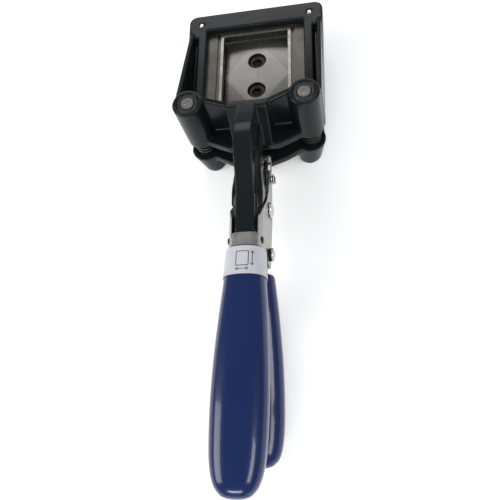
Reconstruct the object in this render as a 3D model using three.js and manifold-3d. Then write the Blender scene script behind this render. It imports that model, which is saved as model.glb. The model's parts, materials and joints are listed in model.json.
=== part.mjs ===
// Hand-held cutter for small rectangular prints.
// Squeezing the two handles turns a rocker, which lifts a carriage with a punch into a fixed die.
// Millimetres. +Z is the cutting direction, +Y points from the handles to the front of the head,
// and the origin is on the carriage's underside, below the middle of the punch.
import * as THREE from 'three';
import { mergeVertices } from 'three/addons/utils/BufferGeometryUtils.js';
import { ConvexGeometry } from 'three/addons/geometries/ConvexGeometry.js';
import Module from 'manifold-3d';

const wasm = await Module();
wasm.setup();

// ---------------------------------------------------------------- driving dimensions

const CUT_WIDTH = 32;
const CUT_LENGTH = 42.6;
const PUNCH_CLEARANCE = 0.1;
const FIT_GAP = 0.05;
const REST_GAP = 0.3;
const SIDES = [['left', -1], ['right', 1]];

// levels, from the surface that the tool rests on
const CARRIAGE_TOP = 13.5;
const CARRIAGE_PLATE_BOTTOM = 9.5;
const PUNCH_TOP = 19.2;
const FRAME_BOTTOM = 20.5;
const FLANGE_TOP = 24.5;
const FRAME_TOP = 27.5;
const SPINE_TOP = 42.5;
const BARREL_TOP = 46.5;

// plan of the head
const FRONT_Y = 33.7;
const FRONT_HALF_WIDTH = 33.4;
const REAR_HALF_WIDTH = 32.6;
const CORNER_RADIUS = 4;
const WINDOW = { halfWidth: 24, front: 24.1, rear: -30.5 };
const SPINE_HALF_WIDTH = 9;
const SPINE_REAR_Y = -43.8;

// guides
const GUIDE = { x: 25.3, y: -33.3, barrelRadius: 6.75, bushRadius: 4.7, pinRadius: 2.85 };
const SPRING = { outerRadius: 5.2, wireRadius: 0.65, turns: 4, stepsPerTurn: 12, seat: 9.6 };

// die
const DIE = { halfWidth: 29.4, front: 30.3, rear: -26.1, top: 24.2, land: 1.4, groove: 1.7, grooveDepth: 0.8 };

// mechanism pivots, as [y, z]
const HANDLE_PIVOT = [-95, 19.5];
const DRIVE_PIN = [-74, 19.5];
const DRIVE_PIN_SQUEEZED = [-74.62, 14.42];
const ROCKER_PIVOT = [-57, 16.5];
const LIFT_PIN = [-46.7, 17.5];
const ARM_PIN_FRONT = [-95.2, 36.4];
const ARM_PIN_REAR = [-106, 35.2];
const PIN_RADIUS = 1.5;
const PIN_HOLE_RADIUS = PIN_RADIUS + FIT_GAP;

// widths of the nested mechanism, measured from the middle plane
const RAIL_HALF_WIDTH = 3.9;
const TONGUE_HALF_WIDTH = 4.7;
const ROOT_HALF_WIDTH = 5;
const CHEEK = { inner: 5.3, outer: 6.8 };
const NOSE = { inner: 3.8, outer: 5.1 };
const ROCKER_TAIL_HALF_WIDTH = 3.6;
const ROCKER_HALF_WIDTH = 5.0;
const TAIL_BLADE_HALF_WIDTH = 2.7;

// handles: stations along the grip as [y, middle z, half width, half height]
const UPPER_GRIP = [
  [-99, 34.6, 7.5, 7.0], [-111.8, 35.7, 8.3, 7.3], [-125, 37.0, 9.3, 7.4],
  [-141, 38.8, 10.2, 7.5], [-157, 40.2, 10.6, 7.4], [-172, 41.4, 10.2, 7.2],
  [-180, 42.1, 9.4, 6.8], [-185.3, 42.6, 7.8, 5.8], [-188.3, 42.8, 5.4, 4.0], [-189.3, 42.9, 3.2, 2.2],
];
const LOWER_GRIP = [
  [-104, 15.6, 8.6, 6.6], [-115, 13.6, 9.7, 7.0], [-125, 11.8, 10.5, 7.2],
  [-138, 9.3, 11.2, 7.4], [-151, 7.5, 11.5, 7.5], [-163, 7.5, 11.5, 7.4],
  [-170.5, 7.8, 10.9, 7.0], [-175.5, 8.1, 9.6, 5.9], [-178.3, 8.3, 7.2, 4.1], [-179.3, 8.4, 4.6, 2.3],
];
const GRIP_WALL = 1.0;
const GRIP_CORNER = 0.86;
const CAVITY_CORNER = 0.8;
const SHEET = 1.5;
const SHEET_CORNER = 0.75;
const CHANNEL_FRONT_Y = -93;
const LABEL = { front: -99.7, rear: -111.3, gap: 0.1, thickness: 0.4 };

// ---------------------------------------------------------------- materials

function material(color, roughness, metalness) {
  return new THREE.MeshStandardMaterial({ color, roughness, metalness });
}

const BLACK_PAINT = [0x22282a, 0.35, 0.1];
const DIE_STEEL = [0x6a6862, 0.4, 0.9];
const PUNCH_STEEL = [0x8a8680, 0.35, 0.9];
const SHEET_STEEL = [0x969694, 0.3, 0.9];
const BRIGHT_STEEL = [0xc8cac6, 0.2, 1.0];
const PIN_STEEL = [0x6e6c6a, 0.35, 0.9];
const BLACK_OXIDE = [0x1a1b1c, 0.4, 0.6];
const BRONZE = [0x4a4742, 0.4, 0.8];
const BLUE_VINYL = [0x1f2c58, 0.25, 0.0];
const LABEL_FILM = [0xbebec3, 0.5, 0.0];

// ---------------------------------------------------------------- solids

function solidFrom(geometry) {
  const bare = geometry.clone();
  bare.deleteAttribute('normal');
  bare.deleteAttribute('uv');
  const merged = mergeVertices(bare, 1e-4);
  const corners = merged.index.array;
  const kept = [];
  for (let i = 0; i < corners.length; i += 3) {
    const [a, b, c] = [corners[i], corners[i + 1], corners[i + 2]];
    if (a !== b && b !== c && c !== a) {
      kept.push(a, b, c);
    }
  }
  return new wasm.Manifold(new wasm.Mesh({
    numProp: 3,
    vertProperties: new Float32Array(merged.attributes.position.array),
    triVerts: new Uint32Array(kept),
  }));
}

function geometryFrom(solid) {
  const result = solid.getMesh();
  const geometry = new THREE.BufferGeometry();
  geometry.setAttribute('position', new THREE.BufferAttribute(new Float32Array(result.vertProperties), 3));
  geometry.setIndex(new THREE.BufferAttribute(new Uint32Array(result.triVerts), 1));
  geometry.computeVertexNormals();
  return geometry;
}

function union(solids) {
  return solids.reduce((sum, solid) => sum.add(solid));
}

function cut(solid, tools) {
  return tools.reduce((rest, tool) => rest.subtract(tool), solid);
}

function box(x0, x1, y0, y1, z0, z1) {
  const geometry = new THREE.BoxGeometry(x1 - x0, y1 - y0, z1 - z0);
  return solidFrom(geometry.translate((x0 + x1) / 2, (y0 + y1) / 2, (z0 + z1) / 2));
}

function uprightCylinder(x, y, radius, z0, z1, segments) {
  const geometry = new THREE.CylinderGeometry(radius, radius, z1 - z0, segments);
  geometry.rotateX(Math.PI / 2);
  return solidFrom(geometry.translate(x, y, (z0 + z1) / 2));
}

function crossCylinder([y, z], radius, x0, x1, segments) {
  const geometry = new THREE.CylinderGeometry(radius, radius, x1 - x0, segments);
  geometry.rotateZ(Math.PI / 2);
  return solidFrom(geometry.translate((x0 + x1) / 2, y, z));
}

function outline(points) {
  return new THREE.Shape(points.map(([a, b]) => new THREE.Vector2(a, b)));
}

// an outline in plan, as [x, y], raised from z0 to z1
function planPlate(shape, z0, z1) {
  const geometry = new THREE.ExtrudeGeometry(shape, { depth: z1 - z0, bevelEnabled: false, curveSegments: 8 });
  return solidFrom(geometry.translate(0, 0, z0));
}

// an outline seen from the side, as [y, z], drawn out from x0 to x1
function sidePlate(shape, x0, x1) {
  const geometry = new THREE.ExtrudeGeometry(shape, { depth: x1 - x0, bevelEnabled: false, curveSegments: 8 });
  const turn = new THREE.Matrix4().makeBasis(
    new THREE.Vector3(0, 1, 0), new THREE.Vector3(0, 0, 1), new THREE.Vector3(1, 0, 0));
  geometry.applyMatrix4(turn);
  return solidFrom(geometry.translate(x0, 0, 0));
}

// the two mirror-image plates between |x| = inner and |x| = outer
function sidePlatePair(shape, inner, outer) {
  return SIDES.map(([, sign]) => sidePlate(shape, Math.min(sign * inner, sign * outer),
    Math.max(sign * inner, sign * outer)));
}

// a slot through |x| <= reach, with round ends at two points
function crossSlot([y0, z0], [y1, z1], radius, reach) {
  const angle = Math.atan2(z1 - z0, y1 - y0);
  const shape = new THREE.Shape();
  shape.absarc(y1, z1, radius, angle - Math.PI / 2, angle + Math.PI / 2, false);
  shape.absarc(y0, z0, radius, angle + Math.PI / 2, angle + 3 * Math.PI / 2, false);
  return sidePlate(shape, -reach, reach);
}

// a rounded rectangle in the x-z plane, anticlockwise seen from the handle end
function ring(y, z, halfWidth, halfHeight, corner) {
  const radius = corner * Math.min(halfWidth, halfHeight);
  const steps = 6;
  const centres = [[1, 1], [-1, 1], [-1, -1], [1, -1]];
  const points = [];
  centres.forEach(([signX, signZ], quarter) => {
    for (let i = 0; i <= steps; i += 1) {
      const angle = (quarter + i / steps) * Math.PI / 2;
      points.push(new THREE.Vector3(signX * (halfWidth - radius) + radius * Math.cos(angle), y,
        z + signZ * (halfHeight - radius) + radius * Math.sin(angle)));
    }
  });
  return points;
}

// a body through a row of rings whose y falls from first to last
function loft(rings) {
  const count = rings[0].length;
  const positions = rings.flat().flatMap((point) => [point.x, point.y, point.z]);
  const index = [];
  for (let row = 0; row + 1 < rings.length; row += 1) {
    for (let i = 0; i < count; i += 1) {
      const next = (i + 1) % count;
      const [a, b] = [row * count + i, row * count + next];
      index.push(a, b, a + count, b, b + count, a + count);
    }
  }
  const last = (rings.length - 1) * count;
  for (let i = 1; i + 1 < count; i += 1) {
    index.push(0, i + 1, i);
    index.push(last, last + i, last + i + 1);
  }
  const geometry = new THREE.BufferGeometry();
  geometry.setAttribute('position', new THREE.Float32BufferAttribute(positions, 3));
  geometry.setIndex(index);
  return solidFrom(geometry);
}

// a lathe profile of [radius, distance], turned about the x axis
function turnedAcross(profile, [y, z], segments) {
  const points = profile.map(([radius, along]) => new THREE.Vector2(radius, along));
  const geometry = new THREE.LatheGeometry(points, segments);
  geometry.rotateZ(-Math.PI / 2);
  return solidFrom(geometry.translate(0, y, z));
}

function sweep(curve, radius, steps, sides) {
  const section = new THREE.Shape();
  for (let i = 0; i < sides; i += 1) {
    const angle = 2 * Math.PI * i / sides;
    section[i === 0 ? 'moveTo' : 'lineTo'](radius * Math.cos(angle), radius * Math.sin(angle));
  }
  const geometry = new THREE.ExtrudeGeometry(section, { steps, extrudePath: curve, bevelEnabled: false });
  return solidFrom(geometry);
}

class Helix extends THREE.Curve {
  constructor(radius, z0, z1, turns) {
    super();
    Object.assign(this, { radius, z0, z1, turns });
  }

  getPoint(t) {
    const angle = 2 * Math.PI * this.turns * t;
    return new THREE.Vector3(this.radius * Math.cos(angle), this.radius * Math.sin(angle),
      this.z0 + (this.z1 - this.z0) * t);
  }
}

const tool = new THREE.Group();

function addPart(name, solid, [color, roughness, metalness], position = [0, 0, 0]) {
  const mesh = new THREE.Mesh(geometryFrom(solid), material(color, roughness, metalness));
  mesh.name = name;
  mesh.position.set(...position);
  tool.add(mesh);
}

// ---------------------------------------------------------------- fixed frame with its arm

function headOutline(frontY, halfWidth, rearHalfWidth, rearPoints) {
  const shape = new THREE.Shape();
  const side = halfWidth - CORNER_RADIUS;
  shape.moveTo(-rearHalfWidth, GUIDE.y);
  rearPoints.forEach(([x, y]) => shape.lineTo(-x, y));
  [...rearPoints].reverse().forEach(([x, y]) => shape.lineTo(x, y));
  shape.lineTo(rearHalfWidth, GUIDE.y);
  shape.lineTo(halfWidth, frontY - CORNER_RADIUS);
  shape.absarc(side, frontY - CORNER_RADIUS, CORNER_RADIUS, 0, Math.PI / 2, false);
  shape.absarc(-side, frontY - CORNER_RADIUS, CORNER_RADIUS, Math.PI / 2, Math.PI, false);
  shape.closePath();
  return shape;
}

// the arm's top line: a straight rise from the spine, then a curve over the hump and down to the handle
const ARM_RISE = [[-33.5, SPINE_TOP], [-40, 45.6]];
const ARM_CURVE = [
  [-40, 45.6], [-47, 48.4], [-54, 49.2], [-62, 47.4], [-68.5, 43.8], [-75.6, 40.9], [-83, 40.1], [-91.8, 39.4],
];
const ARM_END_Y = -92.6;
const ARM_TOP = [
  ...ARM_RISE,
  ...new THREE.SplineCurve(ARM_CURVE.map(([y, z]) => new THREE.Vector2(y, z))).getPoints(28).slice(1)
    .map((point) => [point.x, point.y]),
  [ARM_END_Y, 38.3],
];

// one corner row of each side of the arm's shoulders, as [half width, y, z]
const SHOULDER = [
  [4.7, -52, 30], [4.7, -52, 35.5], [6.6, -72, 36.4], [6.6, -79.6, 36], [6.6, -76.2, 32.4], [6.6, -71.6, 28.2],
];

function upperFrame() {
  const plan = headOutline(FRONT_Y, FRONT_HALF_WIDTH, REAR_HALF_WIDTH, [[26.5, -37.2], [11.5, SPINE_REAR_Y]]);
  const flange = planPlate(plan, FRAME_BOTTOM, FLANGE_TOP);
  const raised = planPlate(plan, FLANGE_TOP, FRAME_TOP)
    .intersect(box(-40, 40, -30, 40, FLANGE_TOP, FRAME_TOP));
  const ribShape = outline([[24, 22], [24, FRAME_TOP], [-33, 44], [-33, 22]]);
  const ribs = sidePlatePair(ribShape, 30.6, REAR_HALF_WIDTH);
  const barrels = SIDES.map(([, sign]) => uprightCylinder(sign * GUIDE.x, GUIDE.y, GUIDE.barrelRadius,
    FRAME_BOTTOM, BARREL_TOP, 36));
  const spine = sidePlate(outline([[-30.5, FRAME_BOTTOM], [-30.5, 38.5], [-33.5, SPINE_TOP],
    [-35.5, SPINE_TOP], [SPINE_REAR_Y, FLANGE_TOP], [SPINE_REAR_Y, FRAME_BOTTOM]]),
  -SPINE_HALF_WIDTH, SPINE_HALF_WIDTH);
  const wall = rearWall();
  const rail = sidePlate(outline([...ARM_TOP, [ARM_END_Y, 31], [-36, 31]]), -RAIL_HALF_WIDTH, RAIL_HALF_WIDTH);
  const tongue = sidePlate(outline([[-40, 25.2], [-40, 35], [-54, 36], [-83, 36], [-91, 38.3], [-112, 38.6],
    [-112, 31.2], [-98.2, 30.4], [-95.6, 25.2]]), -TONGUE_HALF_WIDTH, TONGUE_HALF_WIDTH);
  const root = sidePlate(outline([[-76, 34], [-76, 38.9], [ARM_END_Y, 38.2], [ARM_END_Y, 33]]), -ROOT_HALF_WIDTH,
    ROOT_HALF_WIDTH);
  const shoulders = solidFrom(new ConvexGeometry(SHOULDER.flatMap(([x, y, z]) => [
    new THREE.Vector3(-x, y, z), new THREE.Vector3(x, y, z)])));

  const opening = box(-WINDOW.halfWidth, WINDOW.halfWidth, WINDOW.rear, WINDOW.front, 0, 60);
  const sidePockets = SIDES.map(([, sign]) => box(Math.min(sign * 28.4, sign * 30.7),
    Math.max(sign * 28.4, sign * 30.7), -26, 20, FLANGE_TOP, 60));
  const dieSeat = box(-DIE.halfWidth - FIT_GAP, DIE.halfWidth + FIT_GAP, DIE.rear - FIT_GAP,
    DIE.front + FIT_GAP, 0, DIE.top + FIT_GAP);
  const bores = SIDES.map(([, sign]) => uprightCylinder(sign * GUIDE.x, GUIDE.y,
    GUIDE.bushRadius + FIT_GAP, 0, 60, 36));
  const pinHoles = DOWELS.map(([x, y]) => uprightCylinder(x, y, DOWEL_RADIUS + FIT_GAP, 0, 60, 16));
  const screwHoles = DIE_SCREWS.map(([x, y]) => uprightCylinder(x, y, DIE_SCREW_RADIUS + FIT_GAP, 0, 26.6, 16));
  const armHoles = [ARM_PIN_FRONT, ARM_PIN_REAR].map((place) => crossCylinder(place,
    PIN_HOLE_RADIUS, -10, 10, 16));

  const open = cut(union([flange, raised]), [opening, ...sidePockets]);
  const body = union([open, ...ribs, ...barrels, spine, wall, rail, tongue, root, shoulders]);
  return cut(body, [dieSeat, ...bores, ...pinHoles, ...screwHoles, ...armHoles]);
}

// the wall behind the window, highest at the barrels and lowest at the spine
function rearWall() {
  const shape = outline([[-24, FRAME_BOTTOM], [24, FRAME_BOTTOM], [24, 46.3], [18.7, 46.3], [9, 41],
    [-9, 41], [-18.7, 46.3], [-24, 46.3]]);
  const geometry = new THREE.ExtrudeGeometry(shape, { depth: 2.6, bevelEnabled: false });
  geometry.rotateX(Math.PI / 2);
  return solidFrom(geometry.translate(0, WINDOW.rear, 0));
}

// ---------------------------------------------------------------- die and what holds it

const DOWEL_RADIUS = 1.1;
const DOWELS = [[-27, 27.75], [27, 27.75]];
const DIE_SCREW_RADIUS = 1.5;
const DIE_SCREWS = [[-26.6, -21.5], [26.6, -21.5]];

function diePlate() {
  const blank = box(-DIE.halfWidth, DIE.halfWidth, DIE.rear, DIE.front, FRAME_BOTTOM, DIE.top);
  const [halfWidth, halfLength] = [CUT_WIDTH / 2, CUT_LENGTH / 2];
  const around = (grow, bottom) => box(-halfWidth - grow, halfWidth + grow, -halfLength - grow,
    halfLength + grow, bottom, 60);
  const groove = cut(around(DIE.land + DIE.groove, DIE.top - DIE.grooveDepth), [around(DIE.land, 0)]);
  const dowelHoles = DOWELS.map(([x, y]) => uprightCylinder(x, y, DOWEL_RADIUS + FIT_GAP, 0, 60, 16));
  const screwHoles = DIE_SCREWS.flatMap(([x, y]) => [
    uprightCylinder(x, y, DIE_SCREW_RADIUS + FIT_GAP, 0, 60, 16),
    uprightCylinder(x, y, 2.8 + FIT_GAP, 0, FRAME_BOTTOM + 1.8, 24),
  ]);
  return cut(blank, [around(0, 0), groove, ...dowelHoles, ...screwHoles]);
}

function addDie() {
  addPart('die_plate', diePlate(), DIE_STEEL);
  DOWELS.forEach(([x, y], i) => {
    const pin = uprightCylinder(0, 0, DOWEL_RADIUS, FRAME_BOTTOM + 0.2, FRAME_TOP + 0.15, 16);
    addPart(`die_dowel_${SIDES[i][0]}`, pin, BRIGHT_STEEL, [x, y, 0]);
  });
  DIE_SCREWS.forEach(([x, y], i) => {
    const head = uprightCylinder(0, 0, 2.8, FRAME_BOTTOM + 0.1, FRAME_BOTTOM + 1.75, 24);
    const shank = uprightCylinder(0, 0, DIE_SCREW_RADIUS, FRAME_BOTTOM + 0.5, 26.4, 16);
    const slot = box(-0.4, 0.4, -4, 4, 0, FRAME_BOTTOM + 0.9);
    addPart(`die_screw_${SIDES[i][0]}`, cut(union([head, shank]), [slot]), BLACK_OXIDE, [x, y, 0]);
  });
}

// ---------------------------------------------------------------- guides

function addGuides() {
  SIDES.forEach(([side, sign]) => {
    const place = [sign * GUIDE.x, GUIDE.y, 0];
    const bush = cut(uprightCylinder(0, 0, GUIDE.bushRadius, FRAME_BOTTOM, BARREL_TOP - 0.2, 36),
      [uprightCylinder(0, 0, GUIDE.pinRadius + FIT_GAP, 0, 60, 36)]);
    addPart(`guide_bush_${side}`, bush, BRONZE, place);
    const pin = uprightCylinder(0, 0, GUIDE.pinRadius, 1.5, BARREL_TOP - 0.1, 36);
    addPart(`guide_pin_${side}`, pin, PIN_STEEL, place);
    const coil = new Helix(SPRING.outerRadius - SPRING.wireRadius, SPRING.seat + REST_GAP + SPRING.wireRadius,
      FRAME_BOTTOM - REST_GAP - SPRING.wireRadius, SPRING.turns);
    addPart(`guide_spring_${side}`, sweep(coil, SPRING.wireRadius, SPRING.turns * SPRING.stepsPerTurn, 5),
      BRIGHT_STEEL, place);
  });
}

// ---------------------------------------------------------------- carriage with the punch

const PUNCH_BOTTOM = 8.5;
const PUNCH_SCREW_Y = [8.75, -8.75];
const SCREW_HEAD = { radius: 4.25, bottom: 13.4, top: 18 };
const SCREW_SHANK = { radius: 2.5, bottom: 2.5 };
const SOCKET = { radius: 2.3, depth: 2.6 };

function carriage() {
  const plan = headOutline(32.5, 32, 31.4, [[29.5, -36], [13.5, -44.2], [6.5, -46.6]]);
  const plate = planPlate(plan, CARRIAGE_PLATE_BOTTOM, CARRIAGE_TOP);
  const body = planPlate(headOutline(31.5, 30.5, 29.5, [[22, -33], [15.6, -36.6], [6, -40]]),
    0, CARRIAGE_PLATE_BOTTOM + 0.5);
  const lobes = SIDES.map(([, sign]) => taperedLobe(sign));
  const blade = sidePlate(tailBladeOutline(), -TAIL_BLADE_HALF_WIDTH, TAIL_BLADE_HALF_WIDTH);
  const rockerSlots = SIDES.map(([, sign]) => box(Math.min(sign * TAIL_BLADE_HALF_WIDTH, sign * 5.5),
    Math.max(sign * TAIL_BLADE_HALF_WIDTH, sign * 5.5), -60, -43.6, 0, 30));
  const seat = box(-CUT_WIDTH / 2, CUT_WIDTH / 2, -CUT_LENGTH / 2, CUT_LENGTH / 2, PUNCH_BOTTOM - FIT_GAP, 60);
  const springSeats = SIDES.map(([, sign]) => uprightCylinder(sign * GUIDE.x, GUIDE.y,
    SPRING.outerRadius + REST_GAP, SPRING.seat, 60, 36));
  const pinHoles = SIDES.map(([, sign]) => uprightCylinder(sign * GUIDE.x, GUIDE.y,
    GUIDE.pinRadius + FIT_GAP, 1.2, 60, 36));
  const screwHoles = PUNCH_SCREW_Y.map((y) => uprightCylinder(0, y, SCREW_SHANK.radius + FIT_GAP,
    SCREW_SHANK.bottom - 0.5, 60, 24));
  const liftHole = crossCylinder(LIFT_PIN, PIN_HOLE_RADIUS, -10, 10, 20);
  const solid = cut(union([plate, body, ...lobes]), rockerSlots).add(blade);
  return cut(solid, [seat, ...springSeats, ...pinHoles, ...screwHoles, liftHole]);
}

// the boss below a guide, wider at its top and leaning towards the middle at its foot
function taperedLobe(sign) {
  const top = { x: GUIDE.x, radius: 7, z: CARRIAGE_TOP };
  const foot = { x: GUIDE.x - 1.6, radius: 5.6, z: 0 };
  const segments = 36;
  const y = -35;
  const rim = [top, foot].flatMap(({ x, radius, z }) => Array.from({ length: segments }, (_, i) => {
    const angle = 2 * Math.PI * i / segments;
    return new THREE.Vector3(sign * x + radius * Math.cos(angle), y + radius * Math.sin(angle), z);
  }));
  return solidFrom(new ConvexGeometry(rim));
}

// the blade behind the head that carries the lift pin
function tailBladeOutline() {
  const [y, z] = LIFT_PIN;
  const eyeRadius = 2.6;
  const rootY = -40;
  const shape = new THREE.Shape();
  shape.moveTo(rootY, CARRIAGE_PLATE_BOTTOM - 5);
  shape.lineTo(rootY, CARRIAGE_TOP - 0.5);
  shape.lineTo(y + eyeRadius, CARRIAGE_TOP);
  shape.absarc(y, z, eyeRadius, 0, Math.PI, false);
  shape.lineTo(y - eyeRadius, CARRIAGE_PLATE_BOTTOM);
  shape.closePath();
  return shape;
}

// a block with a flat diamond face, low corners for a shearing cut, and two counterbores
function punchBlock() {
  const halfWidth = CUT_WIDTH / 2 - PUNCH_CLEARANCE;
  const halfLength = CUT_LENGTH / 2 - PUNCH_CLEARANCE;
  const tip = { halfWidth: 4.4, y: 15.5, drop: 0.45 };
  const cornerDrop = 1.3;
  const corners = [];
  [-1, 1].forEach((signY) => {
    corners.push([0, signY * halfLength, PUNCH_TOP - tip.drop]);
    [-1, 1].forEach((signX) => {
      corners.push([signX * halfWidth, signY * halfLength, PUNCH_BOTTOM]);
      corners.push([signX * halfWidth, signY * halfLength, PUNCH_TOP - cornerDrop]);
      corners.push([signX * tip.halfWidth, signY * tip.y, PUNCH_TOP]);
    });
  });
  corners.push([-halfWidth, 0, PUNCH_TOP], [halfWidth, 0, PUNCH_TOP]);
  const block = solidFrom(new ConvexGeometry(corners.map((corner) => new THREE.Vector3(...corner))));
  const holes = PUNCH_SCREW_Y.flatMap((y) => [
    uprightCylinder(0, y, SCREW_HEAD.radius + 0.275, SCREW_HEAD.bottom, 60, 32),
    uprightCylinder(0, y, SCREW_SHANK.radius + FIT_GAP, 0, 60, 24),
  ]);
  return cut(block, holes);
}

function socketScrew() {
  const head = uprightCylinder(0, 0, SCREW_HEAD.radius, SCREW_HEAD.bottom + FIT_GAP, SCREW_HEAD.top, 32);
  const shank = uprightCylinder(0, 0, SCREW_SHANK.radius, SCREW_SHANK.bottom, SCREW_HEAD.bottom + 1, 24);
  const socket = uprightCylinder(0, 0, SOCKET.radius, SCREW_HEAD.top - SOCKET.depth, 60, 6);
  return cut(union([head, shank]), [socket]);
}

function addCarriage() {
  addPart('lower_carriage', carriage(), BLACK_PAINT);
  addPart('punch_block', punchBlock(), PUNCH_STEEL);
  PUNCH_SCREW_Y.forEach((y, i) => {
    addPart(`punch_screw_${['front', 'rear'][i]}`, socketScrew(), BLACK_OXIDE, [0, y, 0]);
  });
  addPart('lift_pin', crossCylinder(LIFT_PIN, PIN_RADIUS, -6.7, 6.7, 20), BRIGHT_STEEL);
}

// ---------------------------------------------------------------- rocker

function leverPoint([y, z], along, across) {
  const angle = Math.atan2(ROCKER_PIVOT[1] - DRIVE_PIN[1], ROCKER_PIVOT[0] - DRIVE_PIN[0]);
  return [y + along * Math.cos(angle) - across * Math.sin(angle), z + along * Math.sin(angle)
    + across * Math.cos(angle)];
}

function rocker() {
  const [pivotY, pivotZ] = ROCKER_PIVOT;
  const hubRadius = 4.6;
  const eyeRadius = 3.8;
  const prongRise = THREE.MathUtils.degToRad(8.37);
  const prongEnd = 11.2;
  const topAt = (reach) => pivotZ + 0.6 / Math.cos(prongRise) - reach * Math.tan(prongRise);
  const prong = outline([[pivotY, pivotZ - 4], [pivotY + 5, pivotZ - 4.4], [pivotY + prongEnd, topAt(prongEnd) - 2],
    [pivotY + prongEnd, topAt(prongEnd)], [pivotY, topAt(0)]]);
  const prongs = sidePlatePair(prong, TAIL_BLADE_HALF_WIDTH + 0.5, ROCKER_HALF_WIDTH);
  const hub = crossCylinder(ROCKER_PIVOT, hubRadius, -ROCKER_HALF_WIDTH, ROCKER_HALF_WIDTH, 32);
  const eye = crossCylinder(DRIVE_PIN, eyeRadius, -ROCKER_TAIL_HALF_WIDTH, ROCKER_TAIL_HALF_WIDTH, 28);
  const bar = sidePlate(outline([leverPoint(DRIVE_PIN, 0, -eyeRadius), leverPoint(ROCKER_PIVOT, 0, -hubRadius),
    leverPoint(ROCKER_PIVOT, 0, hubRadius), leverPoint(DRIVE_PIN, 0, eyeRadius)]),
  -ROCKER_TAIL_HALF_WIDTH, ROCKER_TAIL_HALF_WIDTH);
  const pivotHole = crossCylinder(ROCKER_PIVOT, PIN_HOLE_RADIUS, -10, 10, 20);
  const slot = crossSlot(leverPoint(DRIVE_PIN, -0.8, 0), leverPoint(DRIVE_PIN, 0.6, 0), PIN_RADIUS + 0.12, 10);
  return cut(union([hub, eye, bar, ...prongs]), [pivotHole, slot]);
}

// a coil round the rocker pin with a leg that hooks over the lift pin
function returnSpring(sign) {
  const wire = 0.3;
  const coilRadius = 2.1;
  const coilInner = 7.25;
  const coilWidth = 1.3;
  const turns = 1.5;
  const steps = 15;
  const points = [];
  for (let i = 0; i <= steps; i += 1) {
    const left = 1 - i / steps;
    const angle = Math.PI / 2 + 2 * Math.PI * turns * left;
    points.push([coilInner + coilWidth * left, ROCKER_PIVOT[0] + coilRadius * Math.cos(angle),
      ROCKER_PIVOT[1] + coilRadius * Math.sin(angle)]);
  }
  const [pinY, pinZ] = LIFT_PIN;
  const over = pinZ + PIN_RADIUS + wire + 0.15;
  points.push([coilInner, ROCKER_PIVOT[0] + 3.5, ROCKER_PIVOT[1] + 2.3], [coilInner, pinY - 2.5, over - 0.1],
    [7.1, pinY - 0.8, over], [6.6, pinY, over + 0.05], [5.7, pinY, over + 0.05]);
  const curve = new THREE.CatmullRomCurve3(points.map(([x, y, z]) => new THREE.Vector3(sign * x, y, z)),
    false, 'centripetal');
  return sweep(curve, wire, 44, 5);
}

function addRocker() {
  addPart('lift_rocker', rocker(), BLACK_OXIDE);
  SIDES.forEach(([side, sign]) => {
    addPart(`return_spring_${side}`, returnSpring(sign), BRIGHT_STEEL);
  });
}

// ---------------------------------------------------------------- upper handle

function gripSolid(stations, grow) {
  return loft(stations.map(([y, z, halfWidth, halfHeight]) => ring(y, z, halfWidth + grow,
    halfHeight + grow, GRIP_CORNER)));
}

// stations of the sheet channel inside a grip, ending short of the grip's closed end
function channelStations(grip, frontY) {
  const inside = grip.slice(1, -3).map(([y, z, halfWidth, halfHeight]) => [y, z, halfWidth - GRIP_WALL,
    halfHeight - GRIP_WALL]);
  const [, z, halfWidth, halfHeight] = grip[0];
  return [[frontY, z, halfWidth - GRIP_WALL, halfHeight - GRIP_WALL], ...inside];
}

function grip(stations, channel) {
  const [frontY, z, halfWidth, halfHeight] = channel[0];
  const cavity = [[frontY + 20, z, halfWidth, halfHeight], ...channel].map(([y, mid, w, h]) => ring(y, mid,
    w + REST_GAP, h + REST_GAP, CAVITY_CORNER));
  const end = channel[channel.length - 1];
  cavity.push(ring(end[0] - REST_GAP, end[1], end[2] + REST_GAP, end[3] + REST_GAP, CAVITY_CORNER));
  return gripSolid(stations, 0).subtract(loft(cavity));
}

// a U of folded sheet along stations, open to one side: opens is -1 downwards or 1 upwards
function channelSolid(stations, opens) {
  const outer = loft(stations.map(([y, z, w, h]) => ring(y, z, w, h, SHEET_CORNER)));
  const first = stations[0];
  const last = stations[stations.length - 1];
  const stretched = [[first[0] + 5, ...first.slice(1)], ...stations, [last[0] - 5, ...last.slice(1)]];
  const inner = loft(stretched.map(([y, z, w, h]) => ring(y, z + opens * (SHEET + 8), w - SHEET, h + 8, 0.2)));
  return outer.subtract(inner);
}

const UPPER_CHANNEL = channelStations(UPPER_GRIP, CHANNEL_FRONT_Y);
const LOWER_CHANNEL = [[-101.6, 17, NOSE.outer, 5.6], [-104.8, 15.5, LOWER_GRIP[0][2] - GRIP_WALL,
  LOWER_GRIP[0][3] - GRIP_WALL], ...channelStations(LOWER_GRIP, 0).slice(1)];

function cheekOutline() {
  const [pivotY, pivotZ] = HANDLE_PIVOT;
  const [noseY, noseZ] = ROCKER_PIVOT;
  const shape = new THREE.Shape();
  shape.absarc(noseY, noseZ, 4.2, -Math.PI / 2, Math.PI * 0.6, false);
  [[-66, 22.4], [-72.6, 26.6], [-77, 31.5], [-82, 37], [-86.5, 39.3], [-92, 39.9], [-98.6, 39.9],
    [-98.6, 31], [-99.4, 27]].forEach(([y, z]) => shape.lineTo(y, z));
  shape.absarc(pivotY, pivotZ, 6, Math.PI * 0.98, Math.PI * 1.42, false);
  [[-89, 13.4], [-79, 11.6], [-72, 11.4]].forEach(([y, z]) => shape.lineTo(y, z));
  shape.closePath();
  return shape;
}

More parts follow.
